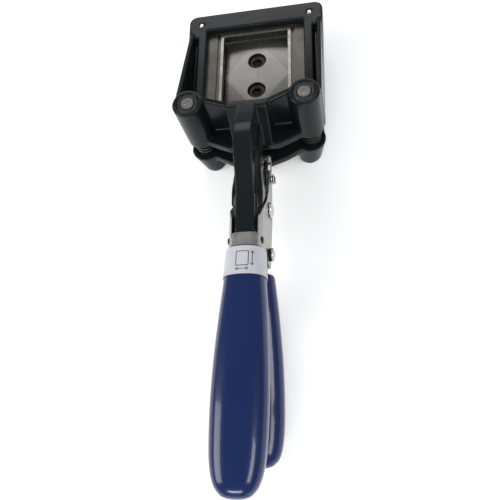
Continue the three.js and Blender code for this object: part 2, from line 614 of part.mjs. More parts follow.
function upperChannel() {
  const cheeks = sidePlatePair(cheekOutline(), CHEEK.inner, CHEEK.outer);
  const [, topMid, , topHalf] = UPPER_CHANNEL[0];
  const reach = 20;
  const roundTop = loft([-40, -100].map((y) => ring(y, topMid + topHalf - reach, CHEEK.outer, reach, 0.66)));
  const trimmed = cheeks.map((cheek) => cheek.intersect(roundTop));
  const holes = [ROCKER_PIVOT, ARM_PIN_FRONT, ARM_PIN_REAR].map((place) => crossCylinder(place,
    PIN_HOLE_RADIUS, -10, 10, 20));
  const pivotHole = crossCylinder(HANDLE_PIVOT, 2 + FIT_GAP, -10, 10, 24);
  const driveSlot = crossSlot(DRIVE_PIN, DRIVE_PIN_SQUEEZED, PIN_RADIUS + 0.15, 10);
  return cut(union([channelSolid(UPPER_CHANNEL, -1), ...trimmed]), [...holes, pivotHole, driveSlot]);
}

function labelBand() {
  const between = (y) => {
    const [a, b] = UPPER_GRIP;
    const share = (y - a[0]) / (b[0] - a[0]);
    return [y, ...[1, 2, 3].map((i) => a[i] + share * (b[i] - a[i]))];
  };
  const stations = [between(LABEL.front), between(LABEL.rear)];
  const longer = [between(LABEL.front + 1), between(LABEL.rear - 1)];
  return gripSolid(stations, LABEL.gap + LABEL.thickness).subtract(gripSolid(longer, LABEL.gap));
}

function addUpperHandle() {
  addPart('upper_handle_channel', upperChannel(), SHEET_STEEL);
  addPart('upper_grip', grip(UPPER_GRIP, UPPER_CHANNEL), BLUE_VINYL);
  addPart('size_label', labelBand(), LABEL_FILM);
  addPart('arm_pin_front', crossCylinder(ARM_PIN_FRONT, PIN_RADIUS, -7.3, 7.3, 20), BLACK_OXIDE);
  addPart('arm_pin_rear', crossCylinder(ARM_PIN_REAR, PIN_RADIUS, -6.6, 6.6, 20), PIN_STEEL);
  addPart('rocker_pivot_pin', crossCylinder(ROCKER_PIVOT, PIN_RADIUS, -8.9, 8.9, 20), BLACK_OXIDE);
  const pivot = [[0, -9.4], [1.8, -9.2], [3, -8.6], [3, -8], [2, -8], [2, 8], [3, 8], [3, 8.6], [1.8, 9.2], [0, 9.4]];
  addPart('handle_pivot_rivet', turnedAcross(pivot, HANDLE_PIVOT, 24), BRIGHT_STEEL);
  SIDES.forEach(([side, sign]) => {
    const washer = cut(crossCylinder([0, 0], 2.8, 6.85, 7.95, 24), [crossCylinder([0, 0], 2 + FIT_GAP, 5, 10, 24)]);
    const mirrored = sign > 0 ? washer : washer.scale([-1, 1, 1]);
    addPart(`pivot_washer_${side}`, mirrored, BLACK_OXIDE, [0, ...HANDLE_PIVOT]);
  });
}

// ---------------------------------------------------------------- lower handle

function noseOutline() {
  const shape = new THREE.Shape();
  shape.absarc(...DRIVE_PIN, 4, -Math.PI / 2, Math.PI / 2, false);
  shape.lineTo(-97, 24);
  shape.lineTo(-101.7, 22.2);
  shape.lineTo(-101.7, 11.6);
  shape.lineTo(-97, 12.4);
  shape.lineTo(-78, 12.4);
  shape.closePath();
  return shape;
}

function lowerChannel() {
  const plates = sidePlatePair(noseOutline(), NOSE.inner, NOSE.outer);
  const web = sidePlate(outline([[-77.5, 12.4], [-77.5, 13.9], [-97, 13.9], [-101.7, 13], [-101.7, 11.6],
    [-97, 12.4]]), -NOSE.inner - 0.5, NOSE.inner + 0.5);
  const driveHole = crossCylinder(DRIVE_PIN, PIN_HOLE_RADIUS, -10, 10, 20);
  const pivotHole = crossCylinder(HANDLE_PIVOT, 2 + FIT_GAP, -10, 10, 24);
  return cut(union([channelSolid(LOWER_CHANNEL, 1), ...plates, web]), [driveHole, pivotHole]);
}

function addLowerHandle() {
  addPart('lower_handle_channel', lowerChannel(), SHEET_STEEL);
  addPart('lower_grip', grip(LOWER_GRIP, LOWER_CHANNEL), BLUE_VINYL);
  const drive = [[0, -8.7], [1.8, -8.4], [3.2, -7.7], [3.6, -7], [1.5, -7], [1.5, 7], [3.6, 7], [3.2, 7.7],
    [1.8, 8.4], [0, 8.7]];
  addPart('drive_pin', turnedAcross(drive, DRIVE_PIN, 24), BRIGHT_STEEL);
}

addPart('upper_frame', upperFrame(), BLACK_PAINT);
addDie();
addGuides();
addCarriage();
addRocker();
addUpperHandle();
addLowerHandle();

export default tool;
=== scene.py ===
"""Looks of a hand-held cutter for small rectangular prints: pieces, materials, light and camera."""

import json
import math

import bmesh
import bpy
from mathutils import Matrix, Vector
from mathutils.bvhtree import BVHTree


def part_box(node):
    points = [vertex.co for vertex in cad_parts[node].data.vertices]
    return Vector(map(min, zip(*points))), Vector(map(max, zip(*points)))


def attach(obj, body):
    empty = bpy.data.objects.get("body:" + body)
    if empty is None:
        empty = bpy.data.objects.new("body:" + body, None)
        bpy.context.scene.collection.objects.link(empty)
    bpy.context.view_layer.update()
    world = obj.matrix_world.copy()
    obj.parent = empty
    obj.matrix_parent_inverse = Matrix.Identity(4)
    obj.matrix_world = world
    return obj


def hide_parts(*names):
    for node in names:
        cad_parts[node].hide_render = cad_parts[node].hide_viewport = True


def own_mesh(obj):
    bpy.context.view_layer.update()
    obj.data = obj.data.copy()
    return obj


MM = 0.001  # pieces are laid out in millimetres and built in metres
SIDES = ("left", "right")

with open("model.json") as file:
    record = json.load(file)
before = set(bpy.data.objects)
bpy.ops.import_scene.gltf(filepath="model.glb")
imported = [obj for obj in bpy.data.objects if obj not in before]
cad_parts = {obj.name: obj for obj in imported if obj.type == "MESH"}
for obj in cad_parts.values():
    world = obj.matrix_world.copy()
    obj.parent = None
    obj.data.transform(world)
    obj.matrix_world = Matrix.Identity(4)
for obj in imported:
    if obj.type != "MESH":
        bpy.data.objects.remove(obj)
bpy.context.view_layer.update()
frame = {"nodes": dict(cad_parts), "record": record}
body_of_node = {
    node: body for body, nodes in frame["record"]["behaviour"]["bodies"].items() for node in nodes
}
slot_of_node = {row["node"]: row["material_slot"] for row in frame["record"]["subparts"]}


# ---------------------------------------------------------------- shader helpers


class Shader:
    """A Principled material whose textures are laid in the row frame, in metres."""

    def __init__(self, name, **values):
        self.material = bpy.data.materials.new(name)
        self.material.use_nodes = True
        self.tree = self.material.node_tree
        self.principled = self.tree.nodes["Principled BSDF"]
        self.place = self.tree.nodes.new("ShaderNodeTexCoord").outputs["Object"]
        for key, value in values.items():
            self.principled.inputs[key.replace("_", " ")].default_value = value

    def node(self, kind, inputs=(), **settings):
        """A new shader node, whose inputs are given as numbers or as the sockets that feed them."""
        made = self.tree.nodes.new(kind)
        for key, value in settings.items():
            setattr(made, key, value)
        for key, value in dict(inputs).items():
            if isinstance(value, bpy.types.NodeSocket):
                self.tree.links.new(value, made.inputs[key])
            else:
                made.inputs[key].default_value = value
        return made

    def link(self, socket, name):
        self.tree.links.new(socket, self.principled.inputs[name])

    def noise(self, size, stretch=(1, 1, 1), detail=3.0, roughness=0.55, shift=0.0):
        """Noise whose features are about size millimetres across, longer where stretch is larger."""
        moved = self.node(
            "ShaderNodeMapping",
            {
                "Vector": self.place,
                "Location": (shift, shift, shift),
                "Scale": [1 / (size * MM * part) for part in stretch],
            },
        )
        texture = self.node(
            "ShaderNodeTexNoise",
            {"Vector": moved.outputs["Vector"], "Scale": 1.0, "Detail": detail, "Roughness": roughness},
        )
        return texture.outputs["Fac"]

    def math(self, operation, first, second=0.0):
        """A sum, product or comparison of two values, each a number or a socket."""
        made = self.node("ShaderNodeMath", operation=operation)
        for i, value in enumerate((first, second)):
            if isinstance(value, bpy.types.NodeSocket):
                self.tree.links.new(value, made.inputs[i])
            else:
                made.inputs[i].default_value = value
        return made.outputs[0]

    def span(self, value, low, high, to_low=0.0, to_high=1.0):
        """Value moved from the span low to high into the span to_low to to_high, and held within it."""
        made = self.node(
            "ShaderNodeMapRange",
            {
                "Value": value,
                "From Min": low,
                "From Max": high,
                "To Min": to_low,
                "To Max": to_high,
            },
        )
        return made.outputs["Result"]

    def blend(self, share, first, second):
        """The first colour where share is 0, and the second where it is 1."""
        made = self.node("ShaderNodeMix", data_type="RGBA")
        self.tree.links.new(share, made.inputs["Factor"])
        for socket, value in ((made.inputs[6], first), (made.inputs[7], second)):
            if isinstance(value, bpy.types.NodeSocket):
                self.tree.links.new(value, socket)
            else:
                socket.default_value = (*value, 1)
        return made.outputs[2]

    def bump(self, *layers):
        """Layers of (height socket, depth in millimetres), one over the other."""
        normal = None
        for height, depth in layers:
            inputs = {"Height": height, "Distance": depth * MM, "Strength": 1.0}
            if normal:
                inputs["Normal"] = normal
            normal = self.node("ShaderNodeBump", inputs).outputs["Normal"]
        self.link(normal, "Normal")

    def axis(self, index):
        """The place along X, Y or Z, numbered from 0."""
        return self.node("ShaderNodeSeparateXYZ", {"Vector": self.place}).outputs[index]


# ---------------------------------------------------------------- materials


def black_paint():
    """Stove enamel over cast metal, with a fine orange peel and some dust."""
    shader = Shader("black_paint", Specular_IOR_Level=0.19)
    peel = shader.noise(1.6, detail=1.5)
    cloud = shader.noise(22, detail=2)
    dust = shader.noise(0.5, detail=4, roughness=0.7, shift=3)
    tone = shader.blend(cloud, (0.0042, 0.0070, 0.0078), (0.0066, 0.0104, 0.0114))
    specks = shader.math("MULTIPLY", shader.span(dust, 0.66, 0.74), 0.5)
    shader.link(shader.blend(specks, tone, (0.035, 0.038, 0.038)), "Base Color")
    shader.link(shader.span(cloud, 0.3, 0.7, 0.18, 0.28), "Roughness")
    shader.bump((peel, 0.03), (dust, 0.004))
    return shader.material


def ground_steel(name, dark, light, roughness, along, depth=0.006, wear=0.35, stain=None):
    """Steel with fine grinding lines that run along one axis, numbered 0 for X and 1 for Y."""
    shader = Shader(name, Metallic=0.9)
    stretch = [1, 1, 1]
    stretch[along] = 40
    lines = shader.noise(0.22, stretch, detail=4, roughness=0.65)
    cloud = shader.noise(9, detail=3, shift=1)
    tone = shader.blend(shader.span(cloud, 0.32, 0.68), dark, light)
    rubbed = [min(1, 1.45 * part) for part in light]
    worn = shader.blend(shader.span(lines, 0.4, 0.75, 0, wear), tone, rubbed)
    if stain:
        blotch = shader.noise(3.2, detail=5, roughness=0.7, shift=5)
        worn = shader.blend(shader.span(blotch, 0.55, 0.75, 0, 0.7), worn, stain)
    shader.link(worn, "Base Color")
    swing = 0.25 * wear
    shader.link(shader.span(lines, 0.3, 0.7, roughness - swing, roughness + swing), "Roughness")
    shader.bump((lines, depth), (cloud, 0.02))
    return shader


def die_steel():
    dark, light, stain = (0.075, 0.072, 0.060), (0.115, 0.111, 0.096), (0.055, 0.052, 0.038)
    return ground_steel("die_steel", dark, light, 0.36, 1, stain=stain).material


def die_rim():
    """The die's land and inner edge, scraped brighter than its face by the prints."""
    dark, light, stain = (0.20, 0.195, 0.17), (0.36, 0.35, 0.31), (0.07, 0.068, 0.055)
    return ground_steel("die_rim", dark, light, 0.3, 1, depth=0.04, stain=stain).material


# Painted shade: a darker copy of the punch's steel, for the corner facets that tilt away from its flat.
def shaded_punch_facet():
    dark, light = (0.150, 0.143, 0.134), (0.175, 0.167, 0.156)
    return ground_steel("shaded_punch_facet", dark, light, 0.28, 0, depth=0.001, wear=0.1).material


def punch_steel():
    """The flat of the punch, with a thin scribed line between its two screws."""
    dark, light = (0.195, 0.183, 0.171), (0.225, 0.213, 0.198)
    line_x, line_half_width, line_half_length = 0.6 * MM, 0.1 * MM, 3.9 * MM
    shader = ground_steel("punch_steel", dark, light, 0.3, 0, depth=0.001, wear=0.1)
    worn = shader.principled.inputs["Base Color"].links[0].from_socket
    beside = shader.math("ABSOLUTE", shader.math("SUBTRACT", shader.axis(0), line_x))
    across = shader.math("LESS_THAN", beside, line_half_width)
    within = shader.math("LESS_THAN", shader.math("ABSOLUTE", shader.axis(1)), line_half_length)
    line = shader.math("MULTIPLY", shader.math("MULTIPLY", across, within), 0.6)
    shader.link(shader.blend(line, worn, (0.06, 0.055, 0.05)), "Base Color")
    return shader.material


def sheet_steel():
    """Drawn sheet, streaked along Y and lightly scratched."""
    shader = Shader("sheet_steel", Metallic=1.0)
    drawn = shader.noise(0.5, (1, 26, 1), detail=4, roughness=0.6)
    cloud = shader.noise(6, detail=4, shift=2)
    scratch = shader.noise(0.18, (1, 14, 6), detail=2, shift=7)
    tone = shader.blend(shader.span(cloud, 0.3, 0.7), (0.27, 0.266, 0.256), (0.38, 0.376, 0.365))
    scratched = shader.span(scratch, 0.62, 0.72, 0, 0.4)
    shader.link(shader.blend(scratched, tone, (0.2, 0.19, 0.18)), "Base Color")
    shader.link(shader.span(cloud, 0.25, 0.75, 0.24, 0.4), "Roughness")
    shader.bump((drawn, 0.012), (cloud, 0.03))
    return shader.material


def bright_steel():
    shader = Shader("bright_steel", Metallic=1.0)
    cloud = shader.noise(1.4, detail=4)
    fine = shader.noise(0.16, detail=3, shift=4)
    shader.link(shader.blend(cloud, (0.50, 0.495, 0.47), (0.72, 0.72, 0.69)), "Base Color")
    shader.link(shader.span(fine, 0.3, 0.7, 0.16, 0.32), "Roughness")
    shader.bump((fine, 0.006), (cloud, 0.015))
    return shader.material


def pin_steel():
    """The pin ends, flattened and scarred where they were staked."""
    shader = Shader("pin_steel", Metallic=0.85)
    scar = shader.noise(0.7, detail=5, roughness=0.7)
    cloud = shader.noise(2.4, detail=3, shift=2)
    tone = shader.blend(shader.span(cloud, 0.3, 0.7), (0.16, 0.15, 0.14), (0.26, 0.25, 0.235))
    scarred = shader.span(scar, 0.5, 0.68, 0, 0.75)
    shader.link(shader.blend(scarred, tone, (0.055, 0.05, 0.048)), "Base Color")
    shader.link(shader.span(scar, 0.35, 0.65, 0.32, 0.55), "Roughness")
    shader.bump((scar, 0.09))
    return shader.material


def black_oxide():
    shader = Shader("black_oxide", Metallic=0.35)
    cloud = shader.noise(1.1, detail=4)
    shader.link(shader.blend(cloud, (0.007, 0.0075, 0.008), (0.022, 0.022, 0.022)), "Base Color")
    shader.link(shader.span(cloud, 0.3, 0.7, 0.3, 0.48), "Roughness")
    shader.bump((cloud, 0.02))
    return shader.material


def spring_steel():
    """Dark, oily spring wire."""
    shader = Shader("spring_steel", Metallic=0.7)
    oil = shader.noise(1.0, detail=3)
    shader.link(shader.blend(oil, (0.012, 0.012, 0.0125), (0.05, 0.05, 0.05)), "Base Color")
    shader.link(shader.span(oil, 0.3, 0.7, 0.25, 0.4), "Roughness")
    shader.bump((oil, 0.015))
    return shader.material


def bush_bronze():
    """Bearing bronze under old grease."""
    shader = Shader("bush_bronze", Metallic=0.6)
    grease = shader.noise(1.3, detail=4)
    tone = shader.blend(shader.span(grease, 0.35, 0.65), (0.014, 0.016, 0.017), (0.045, 0.043, 0.04))
    shader.link(tone, "Base Color")
    shader.link(shader.span(grease, 0.3, 0.7, 0.28, 0.5), "Roughness")
    shader.bump((grease, 0.03))
    return shader.material


def blue_vinyl():
    """Glossy dipped vinyl with the slow ripple of a coat that has run."""
    shader = Shader("blue_vinyl", Coat_Weight=0.35, Coat_Roughness=0.06, Specular_IOR_Level=0.22)
    cloud = shader.noise(14, (1, 2.4, 1), detail=3)
    ripple = shader.noise(7, (1, 1.8, 1), detail=1, shift=4)
    grain = shader.noise(0.35, detail=3, shift=8)
    tone = shader.blend(shader.span(cloud, 0.3, 0.7), (0.0014, 0.0105, 0.064), (0.0020, 0.0140, 0.080))
    shader.link(tone, "Base Color")
    shader.link(shader.span(grain, 0.3, 0.7, 0.2, 0.3), "Roughness")
    shader.bump((ripple, 0.1), (grain, 0.0012))
    return shader.material


def label_film():
    shader = Shader("label_film", Specular_IOR_Level=0.4)
    cloud = shader.noise(5, detail=3)
    fibre = shader.noise(0.3, (3, 1, 1), detail=3, shift=2)
    shader.link(shader.blend(cloud, (0.44, 0.44, 0.465), (0.51, 0.51, 0.535)), "Base Color")
    shader.link(shader.span(fibre, 0.3, 0.7, 0.34, 0.5), "Roughness")
    shader.bump((fibre, 0.004), (cloud, 0.03))
    return shader.material


def print_ink():
    shader = Shader("print_ink")
    cloud = shader.noise(0.4, detail=3)
    shader.link(shader.blend(cloud, (0.03, 0.03, 0.034), (0.07, 0.07, 0.076)), "Base Color")
    shader.link(shader.span(cloud, 0.3, 0.7, 0.4, 0.55), "Roughness")
    return shader.material


MATERIALS = {
    "black_paint": black_paint(),
    "die_steel": die_steel(),
    "die_rim": die_rim(),
    "punch_steel": punch_steel(),
    "shaded_punch_facet": shaded_punch_facet(),
    "spring_steel": spring_steel(),
    "sheet_steel": sheet_steel(),
    "pin_steel": pin_steel(),
    "bright_steel": bright_steel(),
    "black_oxide": black_oxide(),
    "bush_bronze": bush_bronze(),
    "blue_vinyl": blue_vinyl(),
    "label_film": label_film(),
    "print_ink": print_ink(),
}


# ---------------------------------------------------------------- piece helpers


def extent(node):
    """Lowest and highest corner of a CAD node, in millimetres."""
    low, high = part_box(node)
    return low / MM, high / MM


def middle(node):
    """The centre of a CAD node's box, in millimetres."""
    low, high = extent(node)
    return (low + high) / 2


def new_object(name, mesh):
    made = bpy.data.objects.new(name, mesh)
    bpy.context.collection.objects.link(made)
    return made


def from_bmesh(name, built):
    """A new object from a finished bmesh, whose faces all look outwards."""
    bmesh.ops.recalc_face_normals(built, faces=built.faces)
    mesh = bpy.data.meshes.new(name)
    built.to_mesh(mesh)
    built.free()
    return new_object(name, mesh)


def copy_of(node, name, flatten=0.0):
    """A copy of a CAD node's mesh, its corners joined and faces within flatten degrees merged."""
    built = bmesh.new()
    built.from_mesh(frame["nodes"][node].data)
    bmesh.ops.remove_doubles(built, verts=built.verts, dist=0.002 * MM)
    if flatten:
        bmesh.ops.dissolve_limit(
            built, angle_limit=math.radians(flatten), verts=built.verts, edges=built.edges
        )
    return from_bmesh(name, built)


def settle(piece):
    """Turns the piece's modifiers into mesh."""
    bpy.context.view_layer.update()
    shaped = piece.evaluated_get(bpy.context.evaluated_depsgraph_get())
    mesh = bpy.data.meshes.new_from_object(shaped)
    piece.modifiers.clear()
    piece.data = mesh


def smooth(piece, sharp_angle=None):
    """Smooth shading, except over edges that are sharper than sharp_angle degrees."""
    piece.data.shade_smooth()
    if sharp_angle:
        piece.data.set_sharp_from_angle(angle=math.radians(sharp_angle))


def place_piece(piece, node):
    """Gives the piece its CAD node's finish and body, and shows it in the node's stead."""
    if not piece.data.materials:
        piece.data.materials.append(MATERIALS[slot_of_node[node]])
    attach(piece, body_of_node[node])
    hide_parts(node)
    return piece


def cast(node, name, voxel, passes):
    """A casting: the CAD shape with every edge and inside corner rounded as if cast and painted.

    Voxel is the grain in millimetres, and passes is how often the surface is relaxed.
    """
    piece = copy_of(node, name)
    remesh = piece.modifiers.new("remesh", "REMESH")
    remesh.mode = "VOXEL"
    remesh.voxel_size = voxel * MM
    relax = piece.modifiers.new("relax", "SMOOTH")
    relax.factor = 0.5
    relax.iterations = passes
    settle(piece)
    smooth(piece)
    return piece


def edged(node, name, width, sharp_angle=40):
    """A machined or pressed part: the CAD shape with edges over sharp_angle degrees broken."""
    merge_angle, shade_angle = 0.6, 50
    piece = copy_of(node, name, merge_angle)
    bevel = piece.modifiers.new("bevel", "BEVEL")
    bevel.width = width * MM
    bevel.segments = 3
    bevel.limit_method = "ANGLE"
    bevel.angle_limit = math.radians(sharp_angle)
    bevel.use_clamp_overlap = True
    settle(piece)
    smooth(piece, shade_angle)
    weighted = piece.modifiers.new("weighted", "WEIGHTED_NORMAL")
    weighted.keep_sharp = True
    settle(piece)
    return piece


def turned(name, rows, place, across=False, closed=False, hexagon=(), segments=72):
    """A lathe-turned part from rows of [radius, distance along its axis], in millimetres from place.

    Rows in hexagon are six-sided, closed joins the last row to the first, and across turns about X.
    """
    built = bmesh.new()
    rings = []
    for row, (radius, along) in enumerate(rows):
        ring = []
        for k in range(segments):
            angle = 2 * math.pi * k / segments
            reach = radius
            if row in hexagon:
                reach = radius / math.cos(angle % (math.pi / 3) - math.pi / 6)
            first, second = reach * math.cos(angle), reach * math.sin(angle)
            corner = (along, first, second) if across else (first, second, along)
            ring.append(built.verts.new((Vector(corner) + Vector(place)) * MM))
        rings.append(ring)
    pairs = list(zip(rings, rings[1:]))
    if closed:
        pairs.append((rings[-1], rings[0]))
    else:
        built.faces.new(rings[0])
        built.faces.new(rings[-1])
    for below, above in pairs:
        for k in range(segments):
            nxt = (k + 1) % segments
            built.faces.new((below[k], below[nxt], above[nxt], above[k]))
    piece = from_bmesh(name, built)
    smooth(piece, 32)
    return piece


def wire(name, points, radius):
    """A round wire through points given in millimetres."""
    curve = bpy.data.curves.new(name, "CURVE")
    curve.dimensions = "3D"
    curve.bevel_depth = radius * MM
    curve.bevel_resolution = 4
    curve.use_fill_caps = True
    spline = curve.splines.new("POLY")
    spline.points.add(len(points) - 1)
    for point, target in zip(spline.points, points):
        point.co = (*(Vector(target) * MM), 1)
    spline.use_smooth = True
    traced = new_object(name + "_path", curve)
    bpy.context.view_layer.update()
    mesh = bpy.data.meshes.new_from_object(traced.evaluated_get(bpy.context.evaluated_depsgraph_get()))
    bpy.data.objects.remove(traced)
    piece = new_object(name, mesh)
    smooth(piece, 60)
    return piece


# ---------------------------------------------------------------- castings and cutting parts

place_piece(cast("upper_frame", "frame_casting", voxel=0.42, passes=5), "upper_frame")
place_piece(cast("lower_carriage", "carriage_casting", voxel=0.45, passes=5), "lower_carriage")
place_piece(cast("lift_rocker", "rocker_forging", voxel=0.28, passes=4), "lift_rocker")


def die():
    """The die, brighter on the narrow land round its opening."""
    half_opening, land, margin = (16.0, 21.3), 1.4, 0.05
    reach_x, reach_y = ((half + land + margin) * MM for half in half_opening)
    piece = edged("die_plate", "die", 0.28)
    piece.data.materials.append(MATERIALS["die_steel"])
    piece.data.materials.append(MATERIALS["die_rim"])
    for face in piece.data.polygons:
        corners = [piece.data.vertices[i].co for i in face.vertices]
        if face.normal.z > 0.3 and all(abs(at.x) < reach_x and abs(at.y) < reach_y for at in corners):
            face.material_index = 1
    place_piece(piece, "die_plate")


def punch():
    """The punch, darker on the four corners that fall away from its flat: painted shade, a darker copy of
    its own steel.
    """
    flat, smallest_facet = 0.99995, 1.0 * MM**2
    piece = edged("punch_block", "punch", 0.12, sharp_angle=20)
    piece.data.materials.append(MATERIALS["punch_steel"])
    piece.data.materials.append(MATERIALS["shaded_punch_facet"])
    for face in piece.data.polygons:
        if 0.5 < face.normal.z < flat and face.area > smallest_facet:
            face.material_index = 1
    place_piece(piece, "punch_block")


def punch_screw(end):
    """A socket head screw, whose head sits on the shoulder of its counterbore."""
    node = f"punch_screw_{end}"
    low, high = extent(node)
    centre = middle(node)
    head = (high.x - low.x) / 2
    shank, shoulder, socket = 2.5, 13.45, 2.0
    rows = [
        [shank - 0.6, low.z], [shank, low.z + 0.6], [shank, shoulder], [head - 0.15, shoulder],
        [head, shoulder + 0.15], [head, high.z - 0.7], [head - 0.25, high.z - 0.2], [head - 0.7, high.z],
        [socket + 0.75, high.z], [socket + 0.1, high.z - 0.4], [socket, high.z - 0.6],
        [socket, high.z - 2.4], [0.3, high.z - 3.2],
    ]
    socket_rows = (9, 10, 11)
    screw = turned(f"punch_screw_{end}_turned", rows, (centre.x, centre.y, 0), hexagon=socket_rows)
    place_piece(screw, node)


def die_dowel(side):
    """A dowel's end, with a broken edge and a small centre mark."""
    node = f"die_dowel_{side}"
    low, high = extent(node)
    centre = middle(node)
    radius = (high.x - low.x) / 2
    rows = [
        [radius - 0.3, low.z], [radius, low.z + 0.3], [radius, high.z - 0.25],
        [radius - 0.15, high.z - 0.08], [radius - 0.4, high.z], [0.35, high.z], [0.2, high.z - 0.12],
    ]
    place_piece(turned(f"dowel_{side}", rows, (centre.x, centre.y, 0), segments=40), node)


die()
punch()
for end in ("front", "rear"):
    punch_screw(end)
for side in SIDES:
    die_dowel(side)
    place_piece(edged(f"die_screw_{side}", f"die_screw_{side}_edged", 0.15), f"die_screw_{side}")

# ---------------------------------------------------------------- guides


def guide_pin(side, centre, radius):
    """A ground pin of the carriage, its upper end rounded and centre-marked."""
    low, high = extent(f"guide_pin_{side}")
    rows = [
        [radius - 0.5, low.z], [radius, low.z + 0.5], [radius, high.z - 0.35],
        [radius - 0.1, high.z - 0.12], [radius - 0.35, high.z - 0.02], [radius - 0.9, high.z],
        [0.6, high.z - 0.05], [0.3, high.z - 0.25],
    ]
    place_piece(turned(f"pin_{side}", rows, (centre.x, centre.y, 0)), f"guide_pin_{side}")


def guide_bush(side, centre, pin_radius):
    """The bush in which the pin slides, with a countersunk mouth."""
    low, high = extent(f"guide_bush_{side}")
    clearance = 0.05
    outer = (high.x - low.x) / 2
    inner = pin_radius + clearance
    rows = [
        [inner, low.z], [outer - 0.3, low.z], [outer, low.z + 0.3], [outer, high.z - 0.25],
        [outer - 0.25, high.z], [inner + 0.45, high.z], [inner, high.z - 0.45],
    ]
    place_piece(turned(f"bush_{side}", rows, (centre.x, centre.y, 0), closed=True), f"guide_bush_{side}")


def guide_spring(side, centre):
    """A compression spring with closed ends, which the slide shortens from its lower end."""
    low, high = extent(f"guide_spring_{side}")
    thickness = 0.65
    coil = (high.x - low.x) / 2 - thickness
    turns, end_turns, per_turn = 4.5, 0.75, 36
    bottom, top = low.z + thickness, high.z - thickness
    closed_pitch = 2.05 * thickness
    open_rise = top - bottom - 2 * closed_pitch * end_turns
    points = []
    for i in range(int(turns * per_turn) + 1):
        done = i / per_turn
        live = min(max((done - end_turns) / (turns - 2 * end_turns), 0), 1)
        closed = min(done, end_turns) + max(done - turns + end_turns, 0)
        height = bottom + closed_pitch * closed + live * open_rise
        angle = 2 * math.pi * done
        points.append((centre.x + coil * math.cos(angle), centre.y + coil * math.sin(angle), height))
    spring = place_piece(wire(f"guide_coil_{side}", points, thickness), f"guide_spring_{side}")
    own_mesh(spring)


for side in SIDES:
    low, high = extent(f"guide_pin_{side}")
    centre, radius = (low + high) / 2, (high.x - low.x) / 2
    guide_pin(side, centre, radius)
    guide_bush(side, centre, radius)
    guide_spring(side, centre)

# ---------------------------------------------------------------- cross pins and rivets


def plain_pin(node, name, crown):
    """A cross pin whose two ends are crowned by crown millimetres."""
    low, high = extent(node)
    centre = middle(node)
    radius = (high.y - low.y) / 2
    reach = high.x
    half = [
        [0.25, reach], [0.6 * radius, reach - 0.15 * crown], [0.85 * radius, reach - 0.55 * crown],
        [radius, reach - 1.3 * crown],
    ]
    rows = half + [[r, -along] for r, along in reversed(half)]
    place_piece(turned(name, rows, (0, centre.y, centre.z), across=True, segments=48), node)


plain_pin("lift_pin", "lift_cross_pin", 0.3)
plain_pin("rocker_pivot_pin", "rocker_cross_pin", 0.6)
plain_pin("arm_pin_front", "arm_cross_pin_front", 0.3)
plain_pin("arm_pin_rear", "arm_cross_pin_rear", 0.3)


def domed_rivet(node, name, seat, shank):
    """A rivet with a domed head at each side, whose underside is at |x| = seat."""
    low, high = extent(node)
    centre = middle(node)
    radius = (high.y - low.y) / 2
    steps, tip, edge, bevel = 8, 0.12, 0.35, 0.12
    rise = high.x - seat - edge
    half = []
    for step in range(steps + 1):
        angle = math.pi / 2 * step / steps
        half.append([max(radius * math.sin(angle), tip), seat + edge + rise * math.cos(angle)])
    half += [[radius, seat + bevel], [radius - 0.15, seat], [shank, seat]]
    rows = half + [[r, -along] for r, along in reversed(half)]
    place_piece(turned(name, rows, (0, centre.y, centre.z), across=True), node)


domed_rivet("handle_pivot_rivet", "handle_rivet", seat=8.0, shank=2.0)
domed_rivet("drive_pin", "drive_rivet", seat=7.0, shank=1.5)

for side in SIDES:
    node = f"pivot_washer_{side}"
    low, high = extent(node)
    centre = middle(node)
    outer = (high.y - low.y) / 2
    bore = 2.05
    rows = [
        [bore, low.x], [outer - 0.15, low.x], [outer, low.x + 0.15], [outer, high.x - 0.15],
        [outer - 0.15, high.x], [bore, high.x],
    ]
    washer = turned(f"spacer_{side}", rows, (0, centre.y, centre.z), across=True, closed=True, segments=56)
    place_piece(washer, node)

# ---------------------------------------------------------------- return springs


def return_spring(side, sign):
    """A wire wound round the rocker's pivot, whose leg runs forward and hooks over the lift pin."""
    pivot = middle("rocker_pivot_pin")
    pin = middle("lift_pin")
    thickness, coil, turns, steps = 0.3, 2.1, 1.5, 54
    leg_x, coil_width = 7.25, 1.3
    pin_radius, gap = 1.5, 0.15
    points = []
    for i in range(steps + 1):
        left = 1 - i / steps
        angle = math.pi / 2 + 2 * math.pi * turns * left
        across = sign * (leg_x + coil_width * left)
        points.append((across, pivot.y + coil * math.cos(angle), pivot.z + coil * math.sin(angle)))
    over = pin.z + pin_radius + thickness + gap
    leg = [
        (sign * leg_x, pivot.y + 1.6, pivot.z + 2.15), (sign * leg_x, pivot.y + 3.5, pivot.z + 2.3),
        (sign * leg_x, pin.y - 2.5, over - 0.1), (sign * (leg_x - 0.15), pin.y - 0.8, over),
        (sign * 6.6, pin.y, over + 0.05), (sign * 5.7, pin.y, over + 0.05),
    ]
    place_piece(wire(f"return_wire_{side}", points + leg, thickness), f"return_spring_{side}")


for side, sign in zip(SIDES, (-1, 1)):
    return_spring(side, sign)

# ---------------------------------------------------------------- pressed sheet channels

place_piece(edged("upper_handle_channel", "upper_channel_pressed", 0.22, 50), "upper_handle_channel")
place_piece(edged("lower_handle_channel", "lower_channel_pressed", 0.22, 50), "lower_handle_channel")

# ---------------------------------------------------------------- dipped grips

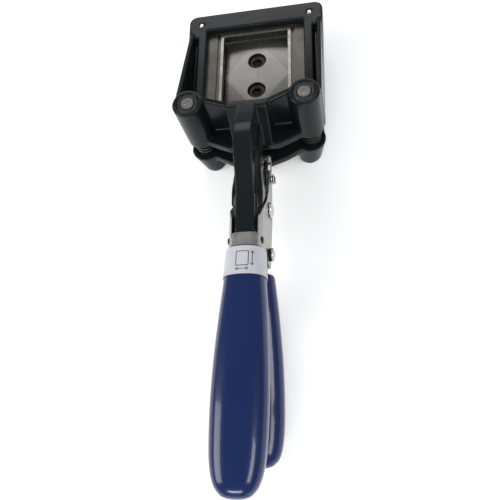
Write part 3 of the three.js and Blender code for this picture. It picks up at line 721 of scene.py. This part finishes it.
# stations along each grip as (y, middle z, half width, half height), in millimetres
UPPER_GRIP = [
    (-99, 34.6, 7.5, 7.0), (-111.8, 35.7, 8.3, 7.3), (-125, 37.0, 9.3, 7.4), (-141, 38.8, 10.2, 7.5),
    (-157, 40.2, 10.6, 7.4), (-172, 41.4, 10.2, 7.2), (-180, 42.1, 9.4, 6.8), (-185.3, 42.6, 7.8, 5.8),
    (-188.3, 42.8, 5.4, 4.0), (-189.3, 42.9, 3.2, 2.2),
]
LOWER_GRIP = [
    (-104, 15.6, 8.6, 6.6), (-115, 13.6, 9.7, 7.0), (-125, 11.8, 10.5, 7.2), (-138, 9.3, 11.2, 7.4),
    (-151, 7.5, 11.5, 7.5), (-163, 7.5, 11.5, 7.4), (-170.5, 7.8, 10.9, 7.0), (-175.5, 8.1, 9.6, 5.9),
    (-178.3, 8.3, 7.2, 4.1), (-179.3, 8.4, 4.6, 2.3),
]
GRIP_POWER = 2.4  # 2 would make the cross-section an ellipse, and more makes it squarer
GRIP_STEPS = 80
STEPS_PER_STATION = 6


def between(stations, place):
    """A station at a place along the list, where 1.5 is halfway from the second to the third."""
    i = min(int(place), len(stations) - 2)
    share = place - i
    before = stations[max(i - 1, 0)]
    after = stations[min(i + 2, len(stations) - 1)]
    result = []
    for p0, p1, p2, p3 in zip(before, stations[i], stations[i + 1], after):
        result.append(
            0.5 * (2 * p1 + (p2 - p0) * share + (2 * p0 - 5 * p1 + 4 * p2 - p3) * share**2
                   + (3 * p1 - p0 - 3 * p2 + p3) * share**3)
        )
    return result


def grip_ring(station, grow, shift=0.0):
    """The cross-section at a station, grown by grow and moved along Y by shift millimetres."""
    y, z, half_width, half_height = station
    half_width, half_height = max(half_width + grow, 0.4), max(half_height + grow, 0.3)
    ring = []
    for step in range(GRIP_STEPS):
        angle = 2 * math.pi * (step + 0.5) / GRIP_STEPS
        across, along = math.cos(angle), math.sin(angle)
        ring.append((
            half_width * math.copysign(abs(across) ** (2 / GRIP_POWER), across),
            y + shift,
            z + half_height * math.copysign(abs(along) ** (2 / GRIP_POWER), along),
        ))
    return ring


def skin(name, rings, closed=False):
    """A surface through rings, which ends in two lids or, if closed, back at its first ring."""
    built = bmesh.new()
    rows = [[built.verts.new(Vector(corner) * MM) for corner in ring] for ring in rings]
    pairs = list(zip(rows, rows[1:]))
    if closed:
        pairs.append((rows[-1], rows[0]))
    else:
        built.faces.new(rows[0])
        built.faces.new(rows[-1])
    for first, second in pairs:
        for k in range(len(first)):
            nxt = (k + 1) % len(first)
            built.faces.new((first[k], first[nxt], second[nxt], second[k]))
    bmesh.ops.remove_doubles(built, verts=built.verts, dist=0.0005 * MM)
    piece = from_bmesh(name, built)
    smooth(piece, 50)
    return piece


def grip(node, name, stations):
    """A dipped vinyl sleeve: closed round tail, rolled front lip and a thin wall.

    The hollow stops solid_tail rings before the last one, and the tail's cap bulges by tail_rise.
    """
    wall, solid_tail = 0.65, 10
    lip_reach, lip_set_back, lip_steps = 0.5, 0.15, 6
    tail_rise = 0.3
    steps = (len(stations) - 1) * STEPS_PER_STATION
    outside = [between(stations, step / STEPS_PER_STATION) for step in range(steps + 1)]
    rings = [grip_ring(station, -wall) for station in reversed(outside[:-solid_tail])]
    for step in range(1, lip_steps):
        angle = math.pi * step / lip_steps
        inwards = wall / 2 * (1 + math.cos(angle))
        rings.append(grip_ring(outside[0], -inwards, lip_reach * math.sin(angle) - lip_set_back))
    rings += [grip_ring(station, 0) for station in outside[1:]]
    y, z, half_width, half_height = outside[-1]
    for share in (0.75, 0.5, 0.25):
        back = tail_rise * (1 - share**2)
        rings.append(grip_ring((y - back, z, half_width * share, half_height * share), 0))
    place_piece(skin(name, rings), node)


grip("upper_grip", "upper_sleeve", UPPER_GRIP)
grip("lower_grip", "lower_sleeve", LOWER_GRIP)

# ---------------------------------------------------------------- the label

low, high = extent("size_label")
label_steps = 12
label_depth, label_gap = 0.45, 0.1
label_places = [
    (UPPER_GRIP[0][0] - y) / (UPPER_GRIP[0][0] - UPPER_GRIP[1][0])
    for y in [high.y + (low.y - high.y) * step / label_steps for step in range(label_steps + 1)]
]
outer = [grip_ring(between(UPPER_GRIP, place), label_depth) for place in label_places]
inner = [grip_ring(between(UPPER_GRIP, place), label_gap) for place in reversed(label_places)]
label = place_piece(skin("label_band", outer + inner, closed=True), "size_label")

# a generic size mark: a small print's outline with an arrow along its width and one along its height
LINE, ARROW_LINE = 0.32, 0.28
surface = BVHTree.FromPolygons(
    [vertex.co for vertex in label.data.vertices], [face.vertices for face in label.data.polygons]
)
mark = bmesh.new()


def stroke(start, end, width):
    """A printed line on the label from one (x, y) to another, in millimetres."""
    step_length, above, below = 0.3, 0.03, -0.05
    start, end = Vector(start), Vector(end)
    steps = max(int((end - start).length / step_length), 1)
    side = (end - start).normalized().orthogonal() * width / 2
    rows = []
    for step in range(steps + 1):
        spot = start.lerp(end, step / steps)
        row = []
        for edge in (spot + side, spot - side):
            hit = surface.ray_cast(Vector((edge.x * MM, edge.y * MM, 0.1)), Vector((0, 0, -1)))[0]
            row += [mark.verts.new(hit + Vector((0, 0, rise * MM))) for rise in (above, below)]
        rows.append(row)
    for (a, b, c, d), (e, f, g, h) in zip(rows, rows[1:]):
        for corners in ((a, c, g, e), (b, f, h, d), (a, e, f, b), (c, d, h, g)):
            mark.faces.new(corners)
    for a, b, c, d in (rows[0], rows[-1]):
        mark.faces.new((a, b, d, c))


def arrow(start, end):
    """A line with a barbed head at each end."""
    barb_back, barb_aside = 0.9, 0.7
    start, end = Vector(start), Vector(end)
    stroke(start, end, ARROW_LINE)
    for tip, tail in ((start, end), (end, start)):
        along = (tail - tip).normalized()
        for sign in (-1, 1):
            barb = barb_back * along + sign * barb_aside * along.orthogonal()
            stroke(tip, tip + barb, ARROW_LINE)


forward, width_arrow_gap, height_arrow_gap = 0.7, 1.4, 1.5
mark_middle = (low.y + high.y) / 2
half_width, half_height = 2.4, 3.0
bottom, top = mark_middle - half_height + forward, mark_middle + half_height + forward
corners = [(-half_width, bottom), (half_width, bottom), (half_width, top), (-half_width, top)]
for start, end in zip(corners, corners[1:] + corners[:1]):
    stroke(start, end, LINE)
below = bottom - width_arrow_gap
arrow((-half_width, below), (half_width, below))
beside = half_width + height_arrow_gap
arrow((beside, bottom), (beside, top))
size_mark = from_bmesh("size_mark", mark)
size_mark.data.materials.append(MATERIALS["print_ink"])
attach(size_mark, "frame")

# ---------------------------------------------------------------- floor, light and camera


def floor():
    """A pale floor that glows a little, so that shadows on it stay faint."""
    shader = Shader("floor", Roughness=0.9, Emission_Color=(1, 1, 1, 1), Emission_Strength=0.28)
    cloud = shader.noise(60, detail=2)
    shader.link(shader.blend(cloud, (0.86, 0.86, 0.86), (0.88, 0.88, 0.88)), "Base Color")
    built = bmesh.new()
    bmesh.ops.create_grid(built, x_segments=4, y_segments=4, size=3.0)
    plane = from_bmesh("floor", built)
    plane.data.materials.append(shader.material)


def area_light(name, place, aim, size, power):
    """A rectangular studio light, with places and sizes in metres and its power in watts."""
    lamp = bpy.data.lights.new(name, "AREA")
    lamp.shape = "RECTANGLE"
    lamp.size, lamp.size_y = size
    lamp.energy = power
    made = new_object(name, lamp)
    made.location = place
    made.rotation_euler = (Vector(aim) - Vector(place)).to_track_quat("-Z", "Y").to_euler()


floor()
world = bpy.data.worlds.new("studio")
world.use_nodes = True
background = world.node_tree.nodes["Background"]
background.inputs["Color"].default_value = (0.95, 0.97, 1.0, 1)
background.inputs["Strength"].default_value = 0.42
bpy.context.scene.world = world
bpy.context.scene.view_settings.view_transform = "Standard"

area_light("left_box", (-0.68, -0.22, 0.46), (0, -0.16, 0.03), (0.5, 0.42), 4.4)
area_light("right_box", (0.50, -0.28, 0.62), (0, -0.16, 0.03), (0.45, 0.22), 2.6)
area_light("rear_strip", (-0.1, -0.95, 0.46), (0, -0.05, 0.02), (0.5, 0.07), 3.6)
area_light("front_box", (-0.12, 0.80, 0.68), (0, 0, 0.02), (0.5, 0.35), 1.6)

# the view of the photograph: right and up are the picture's own axes in the CAD frame
right = Vector((0.9816, 0.0181, -0.1901)).normalized()
up = Vector((0.0546, 0.9273, 0.3704))
up = (up - up.dot(right) * right).normalized()
back = right.cross(up)
seen_from = Matrix((right, up, back)).transposed().to_4x4()
seen_from.translation = (0.04283, -0.18306, 0.24033)

lens = bpy.data.cameras.new("camera")
lens.sensor_width = 36
lens.lens = 40.84
lens.clip_start = 0.01
camera = new_object("camera", lens)
camera.matrix_world = seen_from
bpy.context.scene.camera = camera
